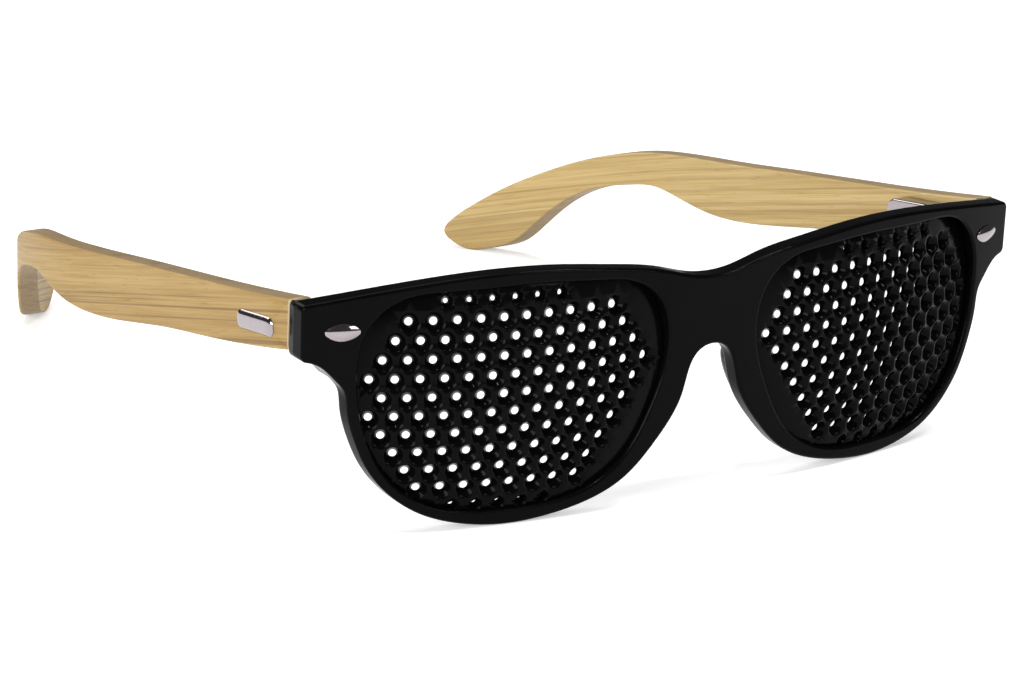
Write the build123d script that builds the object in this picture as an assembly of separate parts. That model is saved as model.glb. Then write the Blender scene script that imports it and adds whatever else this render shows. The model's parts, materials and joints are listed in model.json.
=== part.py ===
from build123d import *
from math import asin, atan2, cos, degrees, radians, sin, sqrt
import os

# Pinhole glasses: a black moulded front with two perforated black lenses,
# bamboo temples, and a spring hinge at each side.
# Millimetres. X runs across the face, +Y runs back along the temples, +Z is up.
# Each part is drawn with the front upright and its rims at Z = 0. The whole is then
# leaned forward and set down, so that it stands on the rims and the two temple tips.
# "left" is the wearer's left, which is +X; the right side is its mirror image.

# Lens openings and the front, seen from the front
lens_width = 54.4
lens_height = 38.5
nose_gap = 18.2
rim_bottom = 2.75
rim_side = 2.4
rim_nose = 5.8
brow_rise = 2.4
bridge_height = 12.2
end_reach = 6.6
end_height = 9.6
front_thickness = 3.9
front_radius = 225.0
end_pad_width = 9.0
end_pad_step = 1.4
edge_round = 0.6
back_round = 1.0
end_round = 1.2

# Moulded nose pads on the two nose flanks
pad_length = 17.4
pad_width = 4.2
pad_reach = 3.8
pad_height = 17.4
pad_lean = 30.0

# Perforated lenses
lens_thickness = 1.6
lens_radius = 83.7
lens_crown = 1.35
lens_bite = 1.0
hole_pitch = 4.11
row_pitch = 3.24
hole_diameter = 1.35
small_hole_diameter = 0.8
dimple_diameter = 3.7
small_dimple_diameter = 2.2
hole_land = 0.2
lattice_shift_side = 3.04
lattice_shift_up = 1.08

# Temples
temple_thickness = 4.0
temple_length = 150.8
temple_drop = 26.1
temple_front_height = 8.6
temple_slope = 8.0
temple_straight = 82.0
temple_turn_radius = 103.0
temple_edge_round = 0.5
joint_gap = 0.3

# Spring hinge: a leaf in the front, a tongue on the pin, a box in the temple
hinge_drop = 4.55
pin_diameter = 1.2
knuckle_diameter = 2.6
pin_inset = 1.6
pin_behind = 2.2
ear_height = 1.2
eye_height = 2.0
leaf_thickness = 1.0
leaf_width = 4.6
leaf_height = 5.6
screw_head_diameter = 2.1
screw_head_height = 0.5
screw_slot = 0.3
stem_width = 1.3
stem_height = 1.5
stem_length = 4.9
rod_diameter = 0.9
rod_length = 9.0
nut_diameter = 2.0
nut_length = 1.0
slide_travel = 1.2
box_length = 17.0
box_height = 4.6
box_depth = 3.9
box_recess = 0.55
box_gap = 2.0
box_edge_round = 0.4
collar_length = 0.6
spring_bore = 2.4
spring_coil_diameter = 2.1
spring_wire = 0.4

# Almond stud on each end piece, and the plaque on each temple
stud_length = 6.3
stud_height = 3.0
stud_tip_round = 0.6
stud_thickness = 0.7
stud_round = 0.5
stud_inset = 6.3
stud_pin_diameter = 1.0
stud_pin_spacing = 2.6
plaque_length = 12.2
plaque_height = 3.25
plaque_proud = 0.7
plaque_round = 0.6
plaque_corner = 1.3
plaque_back = 11.9
plaque_drop = 5.6
plaque_pin_diameter = 1.1
plaque_pin_spacing = 7.0
plaque_pin_depth = 0.5

# Clearances
running = 0.04
seat = 0.03
spring_room = 0.1
overrun = 2.0

# Shares of the lens opening's half width and half height, clockwise from the top
opening_shares = [
    (-0.60, 0.965), (-0.10, 1.0), (0.42, 0.985), (0.80, 0.90), (0.965, 0.62),
    (1.0, 0.24), (0.94, -0.27), (0.80, -0.64), (0.50, -0.93), (0.08, -1.0),
    (-0.36, -0.95), (-0.70, -0.68), (-0.89, -0.24), (-1.0, 0.38), (-0.90, 0.78),
]
# Shares of the same half sizes with the rim added, from the nose down, round and up
rim_shares = [
    (-0.955, 0.02), (-0.925, -0.15), (-0.867, -0.32), (-0.775, -0.50), (-0.60, -0.755),
    (-0.42, -0.885), (-0.20, -0.965), (0.06, -1.0), (0.33, -0.96), (0.55, -0.86),
    (0.725, -0.695), (0.855, -0.475), (0.93, -0.24), (0.972, 0.0), (0.99, 0.17),
]
# Shares of the end piece's reach and height, along its underside
end_under_shares = [(0.16, -0.345), (0.52, -0.095)]
# Shares of the half width and of the brow's rise, along the top edge to the bridge
brow_shares = [
    (0.91, -0.12), (0.83, 0.22), (0.70, 0.68), (0.55, 0.98), (0.41, 0.92),
    (0.26, 0.50), (0.145, -0.02), (0.06, -0.69),
]
brow_end_share = -0.53
brow_middle_share = -0.86
# Shares of half the nose gap and of the bridge's height, along the arch under it
arch_shares = [(0.31, -0.08), (0.47, -0.25)]

# Shares of the temple's length and drop, along its two long edges and round its tip
temple_top_shares = [
    (0.000, 0.000), (0.185, -0.038), (0.371, -0.057), (0.510, -0.075), (0.574, -0.077),
    (0.626, -0.077), (0.687, -0.088), (0.748, -0.137), (0.805, -0.215), (0.861, -0.326),
    (0.919, -0.475), (0.963, -0.629), (0.990, -0.752),
]
temple_tip_shares = [(1.000, -0.845), (0.990, -0.940), (0.968, -1.000)]
temple_under_shares = [
    (0.946, -0.984), (0.915, -0.930), (0.885, -0.800), (0.839, -0.584), (0.797, -0.459),
    (0.754, -0.393), (0.715, -0.363), (0.676, -0.352), (0.633, -0.404), (0.575, -0.483),
    (0.516, -0.514), (0.429, -0.500), (0.311, -0.443), (0.199, -0.413), (0.114, -0.383),
]

# First and last hole of each row of the lattice, counted towards the nose
hole_rows = {
    -2: (2, 7), -1: (0, 9), 0: (-1, 9), 1: (-2, 9), 2: (-3, 9), 3: (-3, 8),
    4: (-4, 7), 5: (-4, 6), 6: (-4, 5), 7: (-4, 4), 8: (-4, 3), 9: (-3, 1),
}
lattice_zero = (2, 3)
small_rows = (-2, 9)

# Number of pieces that each long outline is drawn in
low_pieces = 8
high_pieces = 4
opening_pieces = 4
opening_steps = 36
temple_pieces = 8

# Worked-out sizes
lens_centre_x = nose_gap / 2 + lens_width / 2
lens_centre_z = rim_bottom + lens_height / 2
lens_top = rim_bottom + lens_height
half_width = lens_centre_x + lens_width / 2 + rim_side + end_reach
front_top = lens_top + brow_rise
end_top = lens_top + brow_end_share * brow_rise
end_bottom = end_top - end_height
arch_top = lens_top + brow_middle_share * brow_rise - bridge_height
wrap_angle = degrees(asin(lens_centre_x / front_radius))
back_radius = front_radius - front_thickness
joint_y = front_radius - sqrt(back_radius**2 - half_width**2)

# The open glasses lean forward until the temple tips touch the floor with the rims
lens_line_y = front_radius - sqrt(front_radius**2 - lens_centre_x**2)
tip_run = temple_tip_shares[2][0] * temple_length
tip_y = joint_y + tip_run * cos(radians(temple_slope)) - temple_drop * sin(radians(temple_slope))
tip_z = end_top - tip_run * sin(radians(temple_slope)) - temple_drop * cos(radians(temple_slope))
lean = degrees(atan2(-tip_z, tip_y - lens_line_y))

# Hinge places on the left side; the tongue slides along the temple from the pin
temple_front_y = joint_y + joint_gap
temple_inner_x = half_width - temple_thickness
pin_x = temple_inner_x - pin_inset
pin_y = joint_y + pin_behind
hinge_z = end_top - hinge_drop
knuckle_radius = knuckle_diameter / 2
ear_start = eye_height / 2 + running
collar_start = stem_length + spring_room
nut_start = stem_length + rod_length - nut_length
spring_start = collar_start + collar_length
spring_end = nut_start - slide_travel - spring_room
box_x = temple_inner_x + box_recess - box_depth / 2
stud_x = half_width - stud_inset


def front_surface_y(x):
    """Where the curved front face lies at a distance across the face."""
    return front_radius - sqrt(front_radius**2 - x**2)


def rim_point(side_share, height_share):
    """A point of the outline, from shares of the lens opening with its rim added."""
    side_rim = rim_side if side_share > 0 else rim_nose
    height_rim = 0 if height_share > 0 else rim_bottom
    x = lens_centre_x + side_share * (lens_width / 2 + side_rim)
    z = lens_centre_z + height_share * (lens_height / 2 + height_rim)
    return (x, z)


def front_half_outline():
    """The right-hand half of the front's outline as seen in the X-Z plane."""
    arch = [(0, arch_top)]
    for side, down in arch_shares:
        arch.append((side * nose_gap / 2, arch_top + down * bridge_height))
    lower = arch + [rim_point(side, height) for side, height in rim_shares]
    end_start = half_width - end_reach
    for out, down in end_under_shares:
        lower.append((end_start + out * end_reach, end_bottom + down * end_height))
    lower.append((half_width, end_bottom))
    upper = [(0, lens_top + brow_middle_share * brow_rise)]
    for side, rise in reversed(brow_shares):
        upper.append((side * half_width, lens_top + rise * brow_rise))
    upper.append((half_width, end_top))
    return lower, upper


def at_xz(points):
    """Points of the X-Z plane as points in space."""
    return [Vector(x, 0, z) for x, z in points]


def both_sides(half):
    """The points of half an outline with their mirror images, from left to right."""
    return [(-x, z) for x, z in reversed(half) if x > 0] + half


def in_pieces(curve, count):
    """A long curve cut into equal pieces that follow each other smoothly."""
    return [curve.trim(piece / count, (piece + 1) / count) for piece in range(count)]


def front_prism():
    """The whole outline of the front, drawn through the depth of the glasses."""
    lower, upper = front_half_outline()
    low = Edge.make_spline(at_xz(both_sides(lower)))
    high = Edge.make_spline(at_xz(both_sides(upper)))
    sides = [Edge.make_line(low @ 0, high @ 0), Edge.make_line(low @ 1, high @ 1)]
    wire = Wire(in_pieces(low, low_pieces) + in_pieces(high, high_pieces) + sides)
    prism = extrude(Face(wire), front_radius / 4, dir=(0, 1, 0), both=True)
    straight = prism.edges().filter_by(Axis.Y)
    corners = [edge for edge in straight if half_width - abs(edge.center().X) < seat]
    return fillet(corners, end_round)


def opening_curve(grow):
    """The lens opening's outline, grown all round."""
    points = []
    for side, height in opening_shares:
        x = lens_centre_x + side * lens_width / 2
        z = lens_centre_z + height * lens_height / 2
        points.append((x, z))
    curve = Edge.make_spline(at_xz(points), periodic=True)
    if grow == 0:
        return curve
    grown = []
    for step in range(opening_steps):
        along = curve % (step / opening_steps)
        outward = Vector(-along.Z, 0, along.X)
        grown.append(curve @ (step / opening_steps) + outward * grow)
    return Edge.make_spline(grown, periodic=True)


def opening_face(grow):
    """The lens opening as a face, grown all round."""
    return Face(Wire(in_pieces(opening_curve(grow), opening_pieces)))


def opening_prism(grow):
    """The lens opening cut straight through the front."""
    face = opening_face(grow)
    return extrude(face, front_radius / 4, dir=(0, 1, 0), both=True)


def plan_shell(outer, inner):
    """The wall between two upright cylinders centred behind the bridge."""
    height = front_top + 2 * overrun
    disc = Pos(0, front_radius, -overrun) * extrude(Circle(outer), height)
    core = Pos(0, front_radius, -overrun) * extrude(Circle(inner), height)
    reach = half_width + overrun
    keep = Pos(0, front_radius / 4 - overrun, front_top / 2)
    return (disc - core) & (keep * Box(2 * reach, front_radius / 2, 2 * height))


def lens_centre():
    """The centre of the sphere that the lens's front face lies on."""
    depth = lens_radius - lens_crown
    turn = radians(wrap_angle)
    x = lens_centre_x - depth * sin(turn)
    y = lens_line_y + depth * cos(turn)
    return Vector(x, y, lens_centre_z)


def lens_shell(grow):
    """The spherical wall that the lens fills, made thicker by grow on each face."""
    outer = Sphere(lens_radius + grow)
    inner = Sphere(lens_radius - lens_thickness - grow)
    centre = lens_centre()
    return Pos(centre.X, centre.Y, centre.Z) * (outer - inner)


def hole_places():
    """Each hole's place on the lens: along it outwards, up, and whether it is small."""
    places = []
    for row, (first, last) in hole_rows.items():
        for column in range(first, last + 1):
            steps = (column - lattice_zero[0]) + (row - lattice_zero[1]) / 2
            out = lattice_shift_side - hole_pitch * steps
            up = lattice_shift_up - row_pitch * (row - lattice_zero[1])
            places.append((out, up, row in small_rows))
    return places


def hole_tool(hole, dimple):
    """A conical dimple with a round hole at its bottom, along +Z at the sphere's radius."""
    cone_depth = lens_thickness - hole_land
    slope_out = (dimple - hole) / 2 / cone_depth
    top = lens_radius + overrun
    bottom = lens_radius - lens_thickness - overrun
    neck = lens_radius - cone_depth
    profile = [
        (0, bottom), (hole / 2, bottom), (hole / 2, neck),
        (hole / 2 + slope_out * (top - neck), top), (0, top),
    ]
    points = [Vector(x, 0, z) for x, z in profile]
    face = Face(Wire.make_polygon(points, close=True))
    return revolve(face, Axis.Z, 360)


def perforated_lens():
    """One lens: a spherical wall inside the rim's groove, with its lattice of holes."""
    blank = lens_shell(0) & opening_prism(lens_bite - seat)
    centre = lens_centre()
    tools = {
        False: hole_tool(hole_diameter, dimple_diameter),
        True: hole_tool(small_hole_diameter, small_dimple_diameter),
    }
    cuts = []
    for out, up, small in hole_places():
        side_tilt = degrees(asin(out / lens_radius))
        up_tilt = degrees(asin(up / lens_radius))
        turn = Rot(0, 0, wrap_angle + side_tilt) * Rot(90 - up_tilt, 0, 0)
        cuts.append(Pos(centre.X, centre.Y, centre.Z) * turn * tools[small])
    return blank - cuts


def nose_pad():
    """The moulded pad that stands back from the nose flank of the left rim."""
    flank_share = (rim_shares[2][0] + opening_shares[12][0]) / 2
    x = lens_centre_x + flank_share * (lens_width + rim_nose) / 2
    y = front_surface_y(x) + front_thickness
    pad = scale(Sphere(1), by=(pad_width / 2, pad_reach, pad_length / 2))
    return Pos(x, y, pad_height) * Rot(0, -pad_lean, 0) * pad


def end_block():
    """The thick end of the front that the temple closes against, lower at its inner side."""
    inner = half_width - end_pad_width
    low = end_bottom - end_round - overrun
    corners = [(inner, low), (half_width, low), (half_width, end_top), (inner, end_top - end_pad_step)]
    side = Face(Wire.make_polygon(at_xz(corners), close=True))
    block = extrude(side, joint_y, dir=(0, 1, 0))
    disc = Pos(0, front_radius, 0) * extrude(Circle(front_radius), front_top)
    return block & disc


def leaf_pocket():
    """The pocket in the back of the left end piece, with the two stud holes."""
    width = leaf_width + 2 * seat
    height = leaf_height + 2 * seat
    depth = leaf_thickness + overrun
    pocket = Pos(pin_x, joint_y - leaf_thickness + depth / 2, hinge_z) * Box(width, depth, height)
    return pocket + stud_pins(stud_pin_diameter + 2 * seat, overrun)


def stud_pins(diameter, proud):
    """Two round pins along Y from the left stud back to the joint with the temple."""
    pins = []
    for side in (-1, 1):
        x = pin_x + side * stud_pin_spacing / 2
        start = front_surface_y(x) - proud
        pin = extrude(Circle(diameter / 2), joint_y - start)
        pins.append(Pos(x, start, hinge_z) * Rot(-90, 0, 0) * pin)
    return pins[0] + pins[1]


def curved_face_edges(body, radius):
    """The edges that bound the body's curved front or back face."""
    edges = []
    for face in body.faces().filter_by(GeomType.CYLINDER):
        if face.center().Y < front_radius and abs(face.radius - radius) < seat:
            edges += face.edges()
    return edges


def frame_front():
    """The moulded front with its openings, end pieces, nose pads and lens grooves."""
    prism = front_prism()
    body = prism & plan_shell(front_radius, back_radius)
    body = fillet(curved_face_edges(body, back_radius), back_round)
    block = end_block() & prism
    opening = opening_prism(0)
    body = body + block + mirror(block, Plane.YZ) - opening - mirror(opening, Plane.YZ)
    body = fillet(curved_face_edges(body, front_radius), edge_round)
    pad = nose_pad() - opening
    body = body + pad + mirror(pad, Plane.YZ)
    groove = lens_shell(seat) & opening_prism(lens_bite)
    cuts = [groove, leaf_pocket()]
    return body - (cuts + [mirror(cut, Plane.YZ) for cut in cuts])


def front_stud():
    """The almond stud on the left end piece, with its two pins back to the hinge leaf."""
    half_length = stud_length / 2
    half_height = stud_height / 2
    radius = (half_length**2 + half_height**2) / (2 * half_height)
    offset = radius - half_height
    almond = Pos(0, offset) * Circle(radius) & Pos(0, -offset) * Circle(radius)
    almond = fillet(almond.vertices(), stud_tip_round)
    head = extrude(almond.face(), stud_thickness)
    head = fillet(head.faces().sort_by(Axis.Z)[-1].edges(), stud_round)
    lie = degrees(asin(stud_x / front_radius))
    start = front_surface_y(stud_x) - seat
    place = Pos(stud_x, start, hinge_z) * Rot(0, 0, lie) * Rot(90, 0, 0)
    return place * head + stud_pins(stud_pin_diameter, stud_thickness / 2)


def hinge_leaf():
    """The leaf in the left end piece, with one ear above and one below the tongue."""
    leaf = Pos(pin_x, joint_y - leaf_thickness / 2, hinge_z)
    body = leaf * Box(leaf_width, leaf_thickness, leaf_height)
    for side in (-1, 1):
        z = hinge_z + side * (ear_start + ear_height / 2)
        ear = Cylinder(knuckle_radius, ear_height)
        web = Pos(0, -pin_behind / 2, 0) * Box(knuckle_diameter, pin_behind, ear_height)
        body += Pos(pin_x, pin_y, z) * (ear + web)
    bore = Pos(pin_x, pin_y, hinge_z) * Cylinder(pin_diameter / 2 + seat, 2 * leaf_height)
    return body - bore - stud_pins(stud_pin_diameter + 2 * seat, overrun)


def hinge_screw():
    """The slotted screw that the left temple turns on."""
    top = ear_start + ear_height
    shank = Pos(0, 0, -top) * extrude(Circle(pin_diameter / 2), 2 * top)
    head = Pos(0, 0, top) * extrude(Circle(screw_head_diameter / 2), screw_head_height)
    slot_z = top + screw_head_height
    slot = Pos(0, 0, slot_z) * Box(2 * screw_head_diameter, screw_slot, screw_head_height)
    return Pos(pin_x, pin_y, hinge_z) * (shank + head - slot)


def slide_frame():
    """The left temple's slide: X is outwards, Y up across it and Z back along it."""
    back = Vector(0, cos(radians(temple_slope)), -sin(radians(temple_slope)))
    return Plane(origin=(pin_x, pin_y, hinge_z), x_dir=(1, 0, 0), z_dir=back)


def along_slide(shape, start):
    """A shape that starts at its own Z = 0, set on the slide at a distance from the pin."""
    return slide_frame() * Pos(0, 0, start) * shape


def spring_tongue():
    """The eye on the left hinge pin, with the stem and rod that run into the box."""
    eye = Pos(pin_x, pin_y, hinge_z) * Cylinder(knuckle_radius, eye_height)
    stem = extrude(Rectangle(stem_width, stem_height), stem_length)
    rod = extrude(Circle(rod_diameter / 2), stem_length + rod_length)
    bore = Pos(pin_x, pin_y, hinge_z) * Cylinder(pin_diameter / 2 + running, 2 * eye_height)
    return eye + along_slide(stem, 0) + along_slide(rod, 0) - bore


def ring(outer, inner, length):
    """A straight ring along Z, from diameters."""
    return extrude(Circle(outer / 2) - Circle(inner / 2), length)


def spring_nut():
    """The nut on the end of the left rod, which the spring pushes on."""
    return along_slide(ring(nut_diameter, rod_diameter + 2 * seat, nut_length), nut_start)


def spring_collar():
    """The ring fixed in the left box, which the rod slides through."""
    collar = ring(spring_bore - 2 * seat, rod_diameter + 2 * spring_room, collar_length)
    return along_slide(collar, collar_start)


def flex_spring():
    """The coil spring on the left rod, drawn as the sleeve that its turns fill."""
    inner = spring_coil_diameter - 2 * spring_wire
    length = spring_end - spring_start
    return along_slide(ring(spring_coil_diameter, inner, length), spring_start)


def box_side(grow):
    """The spring box seen from the side, with its rounded back end, grown all round."""
    height = box_height + 2 * grow
    length = box_length + 2 * grow
    straight = length - height / 2
    side = Rectangle(straight, height, align=(Align.MIN, Align.CENTER))
    side += Pos(straight, 0) * Circle(height / 2)
    return side


def temple_plane(x):
    """The side plane of the temple at a distance across the face: X back, Y up."""
    back = Vector(0, cos(radians(temple_slope)), -sin(radians(temple_slope)))
    return Plane(origin=(x, temple_front_y, end_top), x_dir=back, z_dir=(1, 0, 0))


def box_solid(grow):
    """The left spring box's outer form, grown all round to make its pocket."""
    place = temple_plane(0)
    start = place.to_local_coords(Vector(0, pin_y, hinge_z))
    depth = box_depth + 2 * grow
    side = Pos(start.X + box_gap - grow, start.Y) * box_side(grow)
    return Pos(box_x - depth / 2, 0, 0) * extrude(place * side, depth, dir=(1, 0, 0))


def spring_box():
    """The metal box let into the left temple, with its guide slot and spring bore."""
    body = box_solid(0)
    inner = [
        edge for edge in body.faces().sort_by(Axis.X)[0].edges()
        if edge.center().Y > pin_y + box_gap + box_edge_round
    ]
    body = fillet(inner, box_edge_round)
    guide = Rectangle(stem_width + 2 * running, stem_height + 2 * running)
    slot = along_slide(extrude(guide, collar_start), 0)
    bore_length = nut_start + nut_length + spring_room - collar_start
    bore = along_slide(extrude(Circle(spring_bore / 2), bore_length), collar_start)
    return body - slot - bore - plaque_pins(plaque_pin_diameter + 2 * seat)


def temple_outline():
    """The left temple's side, as a face in its own plane at X = 0."""
    height = temple_front_height
    front = (height * sin(radians(temple_slope)), -height * cos(radians(temple_slope)))
    shares = temple_top_shares + temple_tip_shares + temple_under_shares
    points = [(back * temple_length, down * temple_drop) for back, down in shares]
    points.append(front)
    curve = Edge.make_spline([Vector(x, y) for x, y in points])
    joint = Edge.make_line(curve @ 1, curve @ 0)
    return Face(Wire(in_pieces(curve, temple_pieces) + [joint]))


def temple_ribbon():
    """The left temple in plan: straight, then turned in towards the head."""
    outer = half_width
    inner = temple_inner_x
    bend_y = temple_front_y + temple_straight
    middle = outer - temple_thickness / 2 - temple_turn_radius
    reach = temple_length - temple_straight + overrun
    turn = degrees(asin(reach / (temple_turn_radius - temple_thickness / 2)))
    wide = CenterArc((middle, bend_y), outer - middle, 0, turn)
    narrow = CenterArc((middle, bend_y), inner - middle, 0, turn)
    lines = [
        Line((inner, temple_front_y - overrun), (outer, temple_front_y - overrun)),
        Line((outer, temple_front_y - overrun), (outer, bend_y)),
        wide,
        Line(wide @ 1, narrow @ 1),
        narrow,
        Line((inner, bend_y), (inner, temple_front_y - overrun)),
    ]
    plan = Face(Wire([line.edge() for line in lines]))
    return Pos(0, 0, tip_z - overrun) * extrude(plan, end_top - tip_z + 2 * overrun)


def temple():
    """The left bamboo temple, with the pocket for the spring box and the pin holes."""
    outline = temple_plane(0) * temple_outline()
    body = extrude(outline, half_width + overrun, dir=(1, 0, 0)) & temple_ribbon()
    front = body.faces().sort_by(Axis.Y)[0]
    at_front = [edge.center() for edge in front.edges()]
    long_edges = []
    for edge in body.edges().filter_by(GeomType.LINE, reverse=True):
        if all((edge.center() - place).length > running for place in at_front):
            long_edges.append(edge)
    body = fillet(long_edges, temple_edge_round)
    return body - box_solid(seat) - plaque_pins(plaque_pin_diameter + 2 * seat)


def plaque_pins(diameter):
    """Two round pins along X from the left plaque through the wood into the box."""
    start = box_x + box_depth / 2 - plaque_pin_depth
    length = half_width - start
    pins = []
    for side in (-1, 1):
        back = plaque_back + side * plaque_pin_spacing / 2
        pin = temple_plane(start) * Pos(back, -plaque_drop) * Circle(diameter / 2)
        pins.append(extrude(pin, length, dir=(1, 0, 0)))
    return pins[0] + pins[1]


def temple_plaque():
    """The blank metal plaque on the left temple's outer face, with its two pins."""
    outline = RectangleRounded(plaque_length, plaque_height, plaque_corner)
    place = temple_plane(half_width) * Pos(plaque_back, -plaque_drop)
    plate = extrude(place * outline, plaque_proud, dir=(1, 0, 0))
    outer = plate.faces().sort_by(Axis.X)[-1]
    plate = fillet(outer.edges(), plaque_round)
    return plate + plaque_pins(plaque_pin_diameter)


def main():
    os.makedirs("parts", exist_ok=True)
    side_parts = {
        "pinhole_lens": perforated_lens(),
        "front_stud": front_stud(),
        "hinge_leaf": hinge_leaf(),
        "hinge_screw": hinge_screw(),
        "spring_tongue": spring_tongue(),
        "spring_nut": spring_nut(),
        "spring_collar": spring_collar(),
        "flex_spring": flex_spring(),
        "spring_box": spring_box(),
        "temple": temple(),
        "temple_plaque": temple_plaque(),
    }
    parts = {"frame_front": frame_front()}
    for name, part in side_parts.items():
        parts["left_" + name] = part
        parts["right_" + name] = mirror(part, Plane.YZ)
    standing = {name: Rot(lean, 0, 0) * part for name, part in parts.items()}
    boxes = [part.bounding_box() for part in standing.values()]
    middle_y = (min(box.min.Y for box in boxes) + max(box.max.Y for box in boxes)) / 2
    floor_z = min(box.min.Z for box in boxes)
    for name, part in standing.items():
        export_step(Pos(0, -middle_y, -floor_z) * part, f"parts/{name}.step")
    print("lean", lean, "then moved back by", -middle_y, "and up by", -floor_z)
    print("left hinge pin before that", pin_x, pin_y, hinge_z)


main()
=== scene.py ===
import json
import math

import bmesh
import bpy
import numpy as np
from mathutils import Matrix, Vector


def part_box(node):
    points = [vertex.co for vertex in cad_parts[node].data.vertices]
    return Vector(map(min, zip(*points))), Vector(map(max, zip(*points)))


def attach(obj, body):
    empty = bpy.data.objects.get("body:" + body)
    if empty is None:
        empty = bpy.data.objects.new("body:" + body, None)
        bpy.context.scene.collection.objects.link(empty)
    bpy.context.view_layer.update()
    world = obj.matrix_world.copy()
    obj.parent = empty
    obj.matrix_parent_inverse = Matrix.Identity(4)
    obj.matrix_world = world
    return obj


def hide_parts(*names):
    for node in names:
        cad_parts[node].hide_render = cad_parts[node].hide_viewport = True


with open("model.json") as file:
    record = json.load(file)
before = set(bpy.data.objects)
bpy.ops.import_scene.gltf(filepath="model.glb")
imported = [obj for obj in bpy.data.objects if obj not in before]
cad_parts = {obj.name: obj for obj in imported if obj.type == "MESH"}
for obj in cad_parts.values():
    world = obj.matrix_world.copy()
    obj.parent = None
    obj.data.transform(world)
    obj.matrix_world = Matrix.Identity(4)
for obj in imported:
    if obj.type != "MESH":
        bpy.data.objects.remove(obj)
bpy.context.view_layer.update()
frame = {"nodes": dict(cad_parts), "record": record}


nodes = frame["nodes"]
bodyOf = {}
for bodyName, members in frame["record"]["behaviour"]["bodies"].items():
    for member in members:
        bodyOf[member] = bodyName
slotOf = {part["node"]: part["material_slot"] for part in frame["record"]["subparts"]}
print("frame loaded:", len(nodes), "nodes")


# Shared helpers for materials

def newMaterial(name):
    material = bpy.data.materials.new(name)
    material.use_nodes = True
    tree = material.node_tree
    shader = tree.nodes["Principled BSDF"]
    return material, tree, shader


def stretchedPlace(tree, scale=(1, 1, 1), shift=(0, 0, 0), attribute=None):
    # Object coordinates, or a named attribute of the mesh, scaled along each axis
    place = tree.nodes.new("ShaderNodeAttribute" if attribute else "ShaderNodeTexCoord")
    if attribute:
        place.attribute_name = attribute
    mapping = tree.nodes.new("ShaderNodeMapping")
    mapping.inputs["Scale"].default_value = scale
    mapping.inputs["Location"].default_value = shift
    tree.links.new(place.outputs["Vector" if attribute else "Object"], mapping.inputs["Vector"])
    return mapping.outputs["Vector"]


def noise(tree, vector, scale, detail, rough, distort=0.0):
    node = tree.nodes.new("ShaderNodeTexNoise")
    node.inputs["Scale"].default_value = scale
    node.inputs["Detail"].default_value = detail
    node.inputs["Roughness"].default_value = rough
    node.inputs["Distortion"].default_value = distort
    tree.links.new(vector, node.inputs["Vector"])
    return node.outputs["Fac"]


def ramp(tree, value, stops):
    node = tree.nodes.new("ShaderNodeValToRGB")
    for element, (place, colour) in zip(node.color_ramp.elements, stops):
        element.position = place
        element.color = (*colour, 1)
    tree.links.new(value, node.inputs["Fac"])
    return node.outputs["Color"]


def mapRange(tree, value, low, high, outLow, outHigh):
    node = tree.nodes.new("ShaderNodeMapRange")
    numbers = {"From Min": low, "From Max": high, "To Min": outLow, "To Max": outHigh}
    for name, number in numbers.items():
        node.inputs[name].default_value = number
    tree.links.new(value, node.inputs["Value"])
    return node.outputs["Result"]


def maths(tree, operation, *values):
    node = tree.nodes.new("ShaderNodeMath")
    node.operation = operation
    for socket, value in zip(node.inputs, values):
        if isinstance(value, (int, float)):
            socket.default_value = value
        else:
            tree.links.new(value, socket)
    return node.outputs[0]


def mixColour(tree, factor, first, second, blend="MIX"):
    node = tree.nodes.new("ShaderNodeMix")
    node.data_type = "RGBA"
    node.blend_type = blend
    sockets = [socket for socket in node.inputs if socket.enabled]
    for socket, value in zip(sockets, (factor, first, second)):
        if isinstance(value, (int, float)):
            socket.default_value = value
        elif isinstance(value, tuple):
            socket.default_value = (*value, 1)
        else:
            tree.links.new(value, socket)
    return [socket for socket in node.outputs if socket.enabled][0]


def shaded(colour, shares):
    # A colour with its red, green and blue each multiplied by a share
    return tuple(part * share for part, share in zip(colour, shares))


def bump(tree, shader, height, look):
    node = tree.nodes.new("ShaderNodeBump")
    node.inputs["Strength"].default_value = look["bumpStrength"]
    node.inputs["Distance"].default_value = look["bumpDepth"]
    tree.links.new(height, node.inputs["Height"])
    tree.links.new(node.outputs["Normal"], shader.inputs["Normal"])


# Black mouldings: one polish, and a slightly stronger shine on the lenses

frontPlastic = {
    "colour": (0.0022, 0.0022, 0.0023), "cloud": (1.5, 1.5, 1.5), "cloudRange": (0.3, 0.75),
    "roughness": 0.15, "roughShares": (0.85, 1.25), "speckRoughness": 0.03, "ior": 1.5,
    "shine": 0.045, "flowScale": 90, "speckScale": 2600, "bumpStrength": 0.03, "bumpDepth": 0.00001,
}
lensPlastic = {**frontPlastic, "shine": 0.05}


def plasticMaterial(name, look):
    # An even dark colour with cloudy flow marks in the gloss and a trace of waviness
    material, tree, shader = newMaterial(name)
    point = stretchedPlace(tree)
    flow = noise(tree, point, look["flowScale"], 2, 0.5)
    specks = noise(tree, point, look["speckScale"], 2, 0.6)
    low, high = look["cloudRange"]
    tone = ramp(tree, flow, [(low, look["colour"]), (high, shaded(look["colour"], look["cloud"]))])
    tree.links.new(tone, shader.inputs["Base Color"])
    smooth, dull = (look["roughness"] * share for share in look["roughShares"])
    rough = mapRange(tree, flow, low, high, smooth, dull)
    worn = maths(tree, "MULTIPLY_ADD", specks, look["speckRoughness"], rough)
    tree.links.new(worn, shader.inputs["Roughness"])
    shader.inputs["IOR"].default_value = look["ior"]
    shader.inputs["Specular IOR Level"].default_value = look["shine"]
    bump(tree, shader, specks, look)
    return material


# Bamboo: straight fibres, darker growth lines, short pores, browner narrow edges darkened further by painted
# shade on the top and bottom faces, a raw front end

# The "edge" colour is the narrow faces' own browner tone together with painted shade on the top and bottom
# faces
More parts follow.
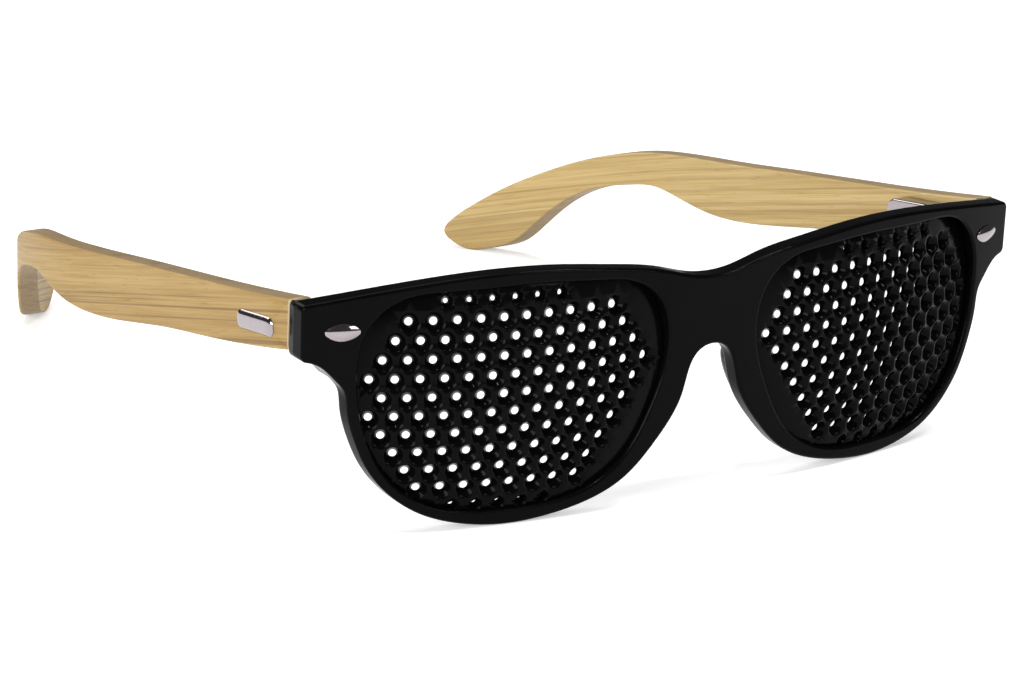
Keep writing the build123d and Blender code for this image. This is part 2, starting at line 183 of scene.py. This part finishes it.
bambooLook = {
    "light": (0.600, 0.425, 0.185), "middle": (0.505, 0.340, 0.130), "line": (0.215, 0.115, 0.032),
    "pore": (0.230, 0.130, 0.050), "edge": (0.270, 0.200, 0.130), "raw": (0.62, 0.50, 0.30),
    "fibreDark": (0.74, 0.69, 0.58), "fibreShare": 0.75, "edgeToneAndShadeShare": 0.65, "rawShare": 0.8,
    "edgeToneAndShadeRange": (0.25, 0.80), "rawWidth": 0.00025, "rawFade": 1.5, "roughness": (0.60, 0.44),
    "shine": 0.3, "varnish": 0.10, "varnishRoughness": 0.3, "bumpStrength": 0.25, "bumpDepth": 0.00005,
}
# Each pattern: its stretch along, across and up the grain, its shift, detail, roughness and bend,
# and the range of the noise over which it shows
grainPatterns = {
    "bands": {"stretch": (5, 220, 380), "shift": (0, 0, 0), "noise": (2, 0.5, 0.0), "range": (0.32, 0.62)},
    "lines": {"stretch": (3, 300, 1500), "shift": (3, 1, 2), "noise": (2, 0.45, 0.1), "range": (0.55, 0.62)},
    "fibres": {"stretch": (45, 2600, 3000), "shift": (0, 0, 0), "noise": (3, 0.6, 0.0), "range": (0.32, 0.60)},
    "pores": {"stretch": (230, 1300, 2600), "shift": (1, 5, 9), "noise": (1, 0.4, 0.0), "range": (0.68, 0.74)},
}
# The two temples come from different canes: the left one is a little paler, partly its own tone and partly
# painted light that makes up for the shade on it, with fainter lines
templeTonesAndLight = {
    "right": {"toneAndPaintedLight": (0.86, 0.81, 0.65), "lines": 0.70, "pores": 0.35},
    "left": {"toneAndPaintedLight": (1.08, 1.12, 1.14), "lines": 0.26, "pores": 0.2},
}


def bambooMaterial(name, look, templeToneAndLight):
    # The attribute "grain" holds metres along the grain, across the temple and up over the grain.
    # Each pattern is noise on it, scaled least along the grain, so that it comes out as a streak.
    material, tree, shader = newMaterial(name)
    marks = {}
    for kind, pattern in grainPatterns.items():
        point = stretchedPlace(tree, pattern["stretch"], pattern["shift"], "grain")
        marks[kind] = noise(tree, point, 1.0, *pattern["noise"])

    def shownShare(kind, share):
        return mapRange(tree, marks[kind], *grainPatterns[kind]["range"], 0.0, share)

    low, high = grainPatterns["bands"]["range"]
    middle, light = shaded(look["middle"], templeToneAndLight["toneAndPaintedLight"]), shaded(look["light"], templeToneAndLight["toneAndPaintedLight"])
    tone = ramp(tree, marks["bands"], [(low, middle), (high, light)])
    tone = mixColour(tree, shownShare("lines", templeToneAndLight["lines"]), tone, look["line"])
    low, high = grainPatterns["fibres"]["range"]
    fibreTone = ramp(tree, marks["fibres"], [(low, look["fibreDark"]), (high, (1.0, 1.0, 1.0))])
    tone = mixColour(tree, look["fibreShare"], tone, fibreTone, "MULTIPLY")
    tone = mixColour(tree, shownShare("pores", templeToneAndLight["pores"]), tone, look["pore"])
    # Painted shade: faces that do not point sideways, the top and bottom, are mixed towards the browner edge
    # colour, partly their own tone and partly painted shade
    normal = tree.nodes.new("ShaderNodeSeparateXYZ")
    tree.links.new(tree.nodes.new("ShaderNodeTexCoord").outputs["Normal"], normal.inputs[0])
    sideways = maths(tree, "ABSOLUTE", normal.outputs["X"])
    edgeToneAndShade = mapRange(tree, sideways, *look["edgeToneAndShadeRange"], look["edgeToneAndShadeShare"], 0.0)
    tone = mixColour(tree, edgeToneAndShade, tone, look["edge"])
    fromFront = tree.nodes.new("ShaderNodeAttribute")
    fromFront.attribute_name = "fromFront"
    width = look["rawWidth"]
    atEnd = mapRange(tree, fromFront.outputs["Fac"], width, look["rawFade"] * width, look["rawShare"], 0.0)
    tone = mixColour(tree, atEnd, tone, look["raw"])
    tree.links.new(tone, shader.inputs["Base Color"])
    tree.links.new(mapRange(tree, marks["fibres"], 0.3, 0.7, *look["roughness"]), shader.inputs["Roughness"])
    shader.inputs["Specular IOR Level"].default_value = look["shine"]
    shader.inputs["Coat Weight"].default_value = look["varnish"]
    shader.inputs["Coat Roughness"].default_value = look["varnishRoughness"]
    bump(tree, shader, marks["fibres"], look)
    return material


# Metal: bright plating outside, plainer steel in the hinge

platingLook = {
    "colour": (0.40, 0.36, 0.375), "dim": (0.92, 0.92, 0.92), "roughness": 0.10,
    "roughShares": (0.8, 1.3), "streak": 0.3, "markScale": 2500, "markRange": (0.3, 0.7),
    "bumpStrength": 0.03, "bumpDepth": 0.00001,
}
steelLook = {**platingLook, "colour": (0.50, 0.50, 0.51), "roughness": 0.30, "streak": 0.1}


def metalMaterial(name, look):
    # Slightly uneven shine with fine lengthwise polish marks
    material, tree, shader = newMaterial(name)
    marks = noise(tree, stretchedPlace(tree, (1, look["streak"], 1)), look["markScale"], 3, 0.6)
    shader.inputs["Metallic"].default_value = 1.0
    low, high = look["markRange"]
    tone = ramp(tree, marks, [(low, shaded(look["colour"], look["dim"])), (high, look["colour"])])
    tree.links.new(tone, shader.inputs["Base Color"])
    smooth, dull = (look["roughness"] * share for share in look["roughShares"])
    tree.links.new(mapRange(tree, marks, low, high, smooth, dull), shader.inputs["Roughness"])
    bump(tree, shader, marks, look)
    return material


finishes = {
    "front_plastic": plasticMaterial("front black", frontPlastic),
    "lens_plastic": plasticMaterial("lens black", lensPlastic),
    "bamboo": bambooMaterial("bamboo", bambooLook, templeTonesAndLight["right"]),
    "chrome": metalMaterial("bright plating", platingLook),
    "hinge_steel": metalMaterial("hinge steel", steelLook),
}
# Painted light: the left temple gets a lighter copy of the bamboo, partly its own paler tone and partly
# painted light against its shade
paleBamboo = bambooMaterial("pale bamboo", bambooLook, templeTonesAndLight["left"])
for nodeName, node in nodes.items():
    node.data.materials.clear()
    node.data.materials.append(paleBamboo if nodeName == "left_temple" else finishes[slotOf[nodeName]])
print("materials made")


# Putting a new mesh in a node's place

def dressNode(piece, nodeName):
    bpy.context.scene.collection.objects.link(piece)
    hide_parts(nodeName)
    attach(piece, bodyOf[nodeName])


def gridMesh(name, points, material):
    # A mesh from an array of points, rows by columns. Each row is a closed loop, the rows are
    # joined by squares, and the first and the last are capped.
    rows, columns = points.shape[:2]
    index = np.arange(rows * columns).reshape(rows, columns)
    after = np.roll(index, -1, 1)
    squares = np.stack([index[:-1], after[:-1], after[1:], index[1:]], -1).reshape(-1, 4).tolist()
    caps = [index[0].tolist(), index[-1][::-1].tolist()]
    mesh = bpy.data.meshes.new(name)
    mesh.from_pydata(points.reshape(-1, 3).tolist(), [], squares + caps)
    mesh.materials.append(material)
    shape = bmesh.new()
    shape.from_mesh(mesh)
    bmesh.ops.recalc_face_normals(shape, faces=shape.faces)
    shape.to_mesh(mesh)
    shape.free()
    mesh.shade_smooth()
    return mesh


# Smooth copies of the moulded, machined and sawn nodes

smoothing = {"weld": 2e-6, "angle": 32.0, "weight": 100}


def smoothPiece(nodeName, look):
    mesh = nodes[nodeName].data.copy()
    shape = bmesh.new()
    shape.from_mesh(mesh)
    bmesh.ops.remove_doubles(shape, verts=shape.verts, dist=look["weld"])
    shape.to_mesh(mesh)
    shape.free()
    mesh.shade_smooth()
    mesh.set_sharp_from_angle(angle=math.radians(look["angle"]))
    piece = bpy.data.objects.new(nodeName + "_finish", mesh)
    dressNode(piece, nodeName)
    weighted = piece.modifiers.new("even shading", "WEIGHTED_NORMAL")
    weighted.keep_sharp = True
    weighted.weight = look["weight"]
    return piece


builtAnew = ("flex_spring", "front_stud", "temple_plaque")
copied = [nodeName for nodeName in nodes if not nodeName.endswith(builtAnew)]
pieces = {nodeName: smoothPiece(nodeName, smoothing) for nodeName in copied}
print("smooth pieces made")


# Grain that follows each temple: the glasses lean forward by "lean" degrees. From the front's plane
# the temple slopes down by "slope" and its grain by "grainSlope". It is straight for "straight",
# and then follows an arc of "radius" about "middleX" that turns it in towards the head.

templeForm = {
    "frontY": -0.065756, "topZ": 0.040475, "lean": 2.298, "slope": 8.0, "grainSlope": 15.0,
    "straight": 0.082, "middleX": -0.0325, "radius": 0.103,
}


def grainAttribute(piece, side, form):
    # run = distance back up to the bend and then the arc's length; grain = run and height turned
    # by the grain's slope, with the distance from the arc's middle line between them
    mesh = piece.data
    place = np.empty(len(mesh.vertices) * 3, np.float32)
    mesh.vertices.foreach_get("co", place)
    x, y, z = place.reshape(-1, 3).astype(float).T
    x = x * side
    lean, slope = math.radians(form["lean"]), math.radians(form["grainSlope"])
    back = (y - form["frontY"]) * math.cos(lean) + (z - form["topZ"]) * math.sin(lean)
    rise = (z - form["topZ"]) * math.cos(lean) - (y - form["frontY"]) * math.sin(lean)
    beyond = np.maximum(back - form["straight"], 0)
    reach = np.hypot(beyond, x - form["middleX"])
    arc = np.arctan2(beyond, x - form["middleX"]) * form["radius"]
    run = np.minimum(back, form["straight"]) + arc
    along = run * math.cos(slope) - rise * math.sin(slope)
    up = run * math.sin(slope) + rise * math.cos(slope)
    grain = np.stack([along, reach - form["radius"], side * up], 1)
    layer = mesh.attributes.new("grain", "FLOAT_VECTOR", "POINT")
    layer.data.foreach_set("vector", grain.astype(np.float32).ravel())
    layer = mesh.attributes.new("fromFront", "FLOAT", "POINT")
    layer.data.foreach_set("value", back.astype(np.float32))


grainAttribute(pieces["left_temple"], 1, templeForm)
grainAttribute(pieces["right_temple"], -1, templeForm)
print("grain laid along the temples")


# Coil springs round the rods, inside the spring boxes

coil = {"turns": 11, "wire": 0.0002, "radius": 0.00085, "across": 10, "along": 330, "closeUp": 0.06}


def coilSpring(side, look):
    # A helix round the rod: it turns by 2 pi times the turns while it rises at a nearly steady
    # rate, closer at both ends. The wire is a circle carried along it.
    nodeName = side + "_flex_spring"
    low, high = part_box(nodeName)
    slope = math.radians(templeForm["slope"] - templeForm["lean"])
    axis = np.array([0, math.cos(slope), -math.sin(slope)])
    centre = (np.array(low) + np.array(high)) / 2
    outside = look["radius"] + look["wire"]
    height = (high.y - low.y - 2 * outside * math.sin(slope)) / math.cos(slope) - 2 * look["wire"]
    t = np.linspace(0, 1, look["along"])
    rise = (t - look["closeUp"] * np.sin(2 * math.pi * t) / (2 * math.pi) - 0.5) * height
    turn = 2 * math.pi * look["turns"] * t
    sideways = np.array([1.0, 0, 0])
    radial = np.cos(turn)[:, None] * sideways + np.sin(turn)[:, None] * np.cross(axis, sideways)
    line = centre + radial * look["radius"] + rise[:, None] * axis
    ring = np.linspace(0, 2 * math.pi, look["across"], endpoint=False)[None, :, None]
    wire = look["wire"] * (np.cos(ring) * radial[:, None] + np.sin(ring) * axis)
    mesh = gridMesh(side + "_flex_coil", line[:, None] + wire, finishes["hinge_steel"])
    dressNode(bpy.data.objects.new(side + "_flex_coil", mesh), nodeName)


coilSpring("left", coil)
coilSpring("right", coil)
print("springs wound")


# Domed stud and plaque, each a closed shell with two closed pins that start inside it. "centre" is
# the middle of the underside, "half" the half length and half height, and "pins" how far apart the
# pins stand, with their middle at "pinSide". "turn", "slope" and "pinTurn" are in degrees.

stud = {
    "centre": (0.0662, -0.072038, 0.035667), "half": (0.002927, 0.0015), "turn": 17.11, "slope": 0.0,
    "bulge": 0.0040575, "tip": 0.0006, "wall": 0.00014, "rise": 0.0007, "endPower": 2, "sidePower": 2,
    "pinRadius": 0.0005, "pins": 0.0026, "pinDepth": 0.0060, "pinSide": 0.0007, "pinTurn": 17.11,
}
plaque = {
    "centre": (0.0725, -0.054471, 0.033720), "half": (0.0061, 0.001625), "turn": 90.0, "slope": 8.0,
    "corner": 0.0013, "wall": 0.00014, "rise": 0.0007, "endPower": 12, "sidePower": 4,
    "pinRadius": 0.00055, "pins": 0.0070, "pinDepth": 0.0030, "pinSide": 0.0, "pinTurn": 0.0,
}
shell = {"along": 61, "across": 25, "pinSides": 20, "endShare": 0.999}


def almondEdge(u, look):
    # Half height of an almond: a wide arc, and near the tips the round of radius "tip"
    drop = look["bulge"] - look["half"][1]
    arc = np.sqrt(look["bulge"] ** 2 - u ** 2) - drop
    middle = look["half"][0] - look["tip"]
    tip = np.sqrt(np.maximum(look["tip"] ** 2 - np.maximum(np.abs(u) - middle, 0) ** 2, 0))
    meet = middle * look["bulge"] / (look["bulge"] - look["tip"])
    return np.where(np.abs(u) < meet, arc, tip)


def roundedEdge(u, look):
    # Half height of a rectangle whose corners are quarter circles
    into = np.maximum(np.abs(u) - (look["half"][0] - look["corner"]), 0)
    corner = np.sqrt(np.maximum(look["corner"] ** 2 - into ** 2, 0))
    return look["half"][1] - look["corner"] + corner


def fittingPlace(points, side, look):
    # From along, up and outwards to the frame: turned by "slope" in the fitting's own plane, by
    # "turn" about the upright and by the lean, then moved to "centre", and mirrored on the right
    turn, slope = math.radians(look["turn"]), math.radians(look["slope"])
    lean = math.radians(templeForm["lean"])
    along, up, out = points[..., 0], points[..., 1], points[..., 2]
    run = along * math.cos(slope) + up * math.sin(slope)
    z = up * math.cos(slope) - along * math.sin(slope)
    x = run * math.cos(turn) + out * math.sin(turn)
    y = run * math.sin(turn) - out * math.cos(turn)
    leanY = y * math.cos(lean) - z * math.sin(lean)
    leanZ = y * math.sin(lean) + z * math.cos(lean)
    placed = np.stack([x, leanY, leanZ], -1) + np.array(look["centre"])
    return placed * np.array([side, 1, 1])


def domedShell(edgeAt, look, form):
    # Rows along the length: height = wall + (rise - wall)(1 - |v / edge|^sidePower)
    # (1 - |u / half|^endPower) over the top, and then back along the flat underside
    share = np.sin(np.linspace(-1, 1, form["along"]) * math.pi / 2) * form["endShare"]
    u = share[:, None] * look["half"][0] * np.ones((1, form["across"]))
    edge = edgeAt(u, look)
    q = np.sin(np.linspace(-1, 1, form["across"]) * math.pi / 2)[None, :]
    ends = 1 - np.abs(share[:, None]) ** look["endPower"]
    dome = (1 - np.abs(q) ** look["sidePower"]) * ends
    top = np.stack([u, q * edge, look["wall"] + (look["rise"] - look["wall"]) * dome], -1)
    base = np.stack([u, -q * edge, np.zeros_like(u)], -1)
    return np.concatenate([top, base], 1)


def fittingPin(offset, look, form):
    # A round pin back from inside the shell, turned by "pinTurn" from square
    ring = np.linspace(0, 2 * math.pi, form["pinSides"], endpoint=False)
    circle = np.stack([np.cos(ring), np.sin(ring), np.zeros_like(ring)], -1) * look["pinRadius"]
    turn = math.radians(look["pinTurn"])
    start = np.array([look["pinSide"] + offset, 0, look["wall"] / 2])
    end = start + np.array([math.sin(turn), 0, -math.cos(turn)]) * look["pinDepth"]
    return np.stack([circle + start, circle + end])


def domedFitting(side, ending, edgeAt, look, form):
    sign = 1 if side == "left" else -1
    nodeName = side + "_" + ending
    parts = [domedShell(edgeAt, look, form)]
    for offset in (-look["pins"] / 2, look["pins"] / 2):
        parts.append(fittingPin(offset, look, form))
    whole = bmesh.new()
    for part in parts:
        mesh = gridMesh("part", fittingPlace(part, sign, look), finishes["chrome"])
        whole.from_mesh(mesh)
        bpy.data.meshes.remove(mesh)
    joined = bpy.data.meshes.new(nodeName + "_domed")
    whole.to_mesh(joined)
    whole.free()
    joined.materials.append(finishes["chrome"])
    joined.shade_smooth()
    joined.set_sharp_from_angle(angle=math.radians(smoothing["angle"]))
    dressNode(bpy.data.objects.new(nodeName + "_domed", joined), nodeName)


for side in ("left", "right"):
    domedFitting(side, "front_stud", almondEdge, stud, shell)
    domedFitting(side, "temple_plaque", roundedEdge, plaque, shell)
print("studs and plaques made")


# Floor, light and camera. The floor's lift is seen by the camera and in gloss only,
# so it adds no light to the object and keeps the object's shadow.

studio = {
    "floor": 0.92, "mottle": 0.01, "mottleScale": 6, "roughness": 0.9, "lift": 0.45,
    "world": 0.07, "half": 3.0,
}
middle = (0, 0, 0.02)
front = (0, -0.06, 0.02)
lamps = {
    "side softbox": {"place": (-2.1, -0.85, 0.85), "aim": middle, "size": (1.5, 1.1), "power": 40.0},
    "front softbox": {"place": (0.5, -1.1, 0.55), "aim": middle, "size": (0.5, 0.4), "power": 2.5},
    "high softbox": {"place": (0.0, 0.35, 1.1), "aim": middle, "size": (0.9, 0.7), "power": 4.5},
    "bevel strip": {"place": (0.30, -0.22, 0.70), "aim": front, "size": (0.05, 0.15), "power": 1.2},
    "spark lamp": {"place": (-0.28, -0.25, 0.95), "aim": front, "size": (0.05, 0.05), "power": 1.6},
    "back softbox": {"place": (-0.5, 1.6, 1.1), "aim": middle, "size": (0.9, 0.7), "power": 7.0},
}


def floorMaterial(look):
    material, tree, shader = newMaterial("studio floor")
    mottle = noise(tree, stretchedPlace(tree), look["mottleScale"], 2, 0.5)
    low, high = (look["floor"] - look["mottle"],) * 3, (look["floor"],) * 3
    tree.links.new(ramp(tree, mottle, [(0.3, low), (0.7, high)]), shader.inputs["Base Color"])
    shader.inputs["Roughness"].default_value = look["roughness"]
    shader.inputs["Specular IOR Level"].default_value = 0.0
    rays = tree.nodes.new("ShaderNodeLightPath")
    seen = rays.outputs["Is Camera Ray"]
    for name in ("Is Glossy Ray", "Is Transmission Ray"):
        seen = maths(tree, "MAXIMUM", seen, rays.outputs[name])
    shader.inputs["Emission Color"].default_value = (1, 1, 1, 1)
    tree.links.new(maths(tree, "MULTIPLY", seen, look["lift"]), shader.inputs["Emission Strength"])
    return material


def areaLamp(name, look):
    light = bpy.data.lights.new(name, "AREA")
    light.shape = "RECTANGLE"
    light.size, light.size_y = look["size"]
    light.energy = look["power"]
    lamp = bpy.data.objects.new(name, light)
    bpy.context.scene.collection.objects.link(lamp)
    lamp.location = look["place"]
    direction = Vector(look["aim"]) - Vector(look["place"])
    lamp.rotation_euler = direction.to_track_quat("-Z", "Y").to_euler()


half = studio["half"]
floorCorners = [(-half, -half, 0), (half, -half, 0), (half, half, 0), (-half, half, 0)]
floorMesh = bpy.data.meshes.new("floor")
floorMesh.from_pydata(floorCorners, [], [(0, 1, 2, 3)])
floorMesh.materials.append(floorMaterial(studio))
floor = bpy.data.objects.new("floor", floorMesh)
bpy.context.scene.collection.objects.link(floor)

world = bpy.data.worlds.new("studio")
world.use_nodes = True
world.node_tree.nodes["Background"].inputs["Color"].default_value = (1, 1, 1, 1)
world.node_tree.nodes["Background"].inputs["Strength"].default_value = studio["world"]
bpy.context.scene.world = world
for lampName, lampLook in lamps.items():
    areaLamp(lampName, lampLook)

view = {
    "place": (-0.3253, -0.52912, 0.18846), "turn": (73.6628, -1.0005, -32.2024),
    "lens": 120.449, "sensor": 36,
}
cameraData = bpy.data.cameras.new("camera")
cameraData.lens = view["lens"]
cameraData.sensor_width = view["sensor"]
camera = bpy.data.objects.new("camera", cameraData)
bpy.context.scene.collection.objects.link(camera)
camera.location = view["place"]
camera.rotation_euler = [math.radians(angle) for angle in view["turn"]]
bpy.context.scene.camera = camera
bpy.context.scene.view_settings.view_transform = "Standard"
print("stage, lights and camera set")
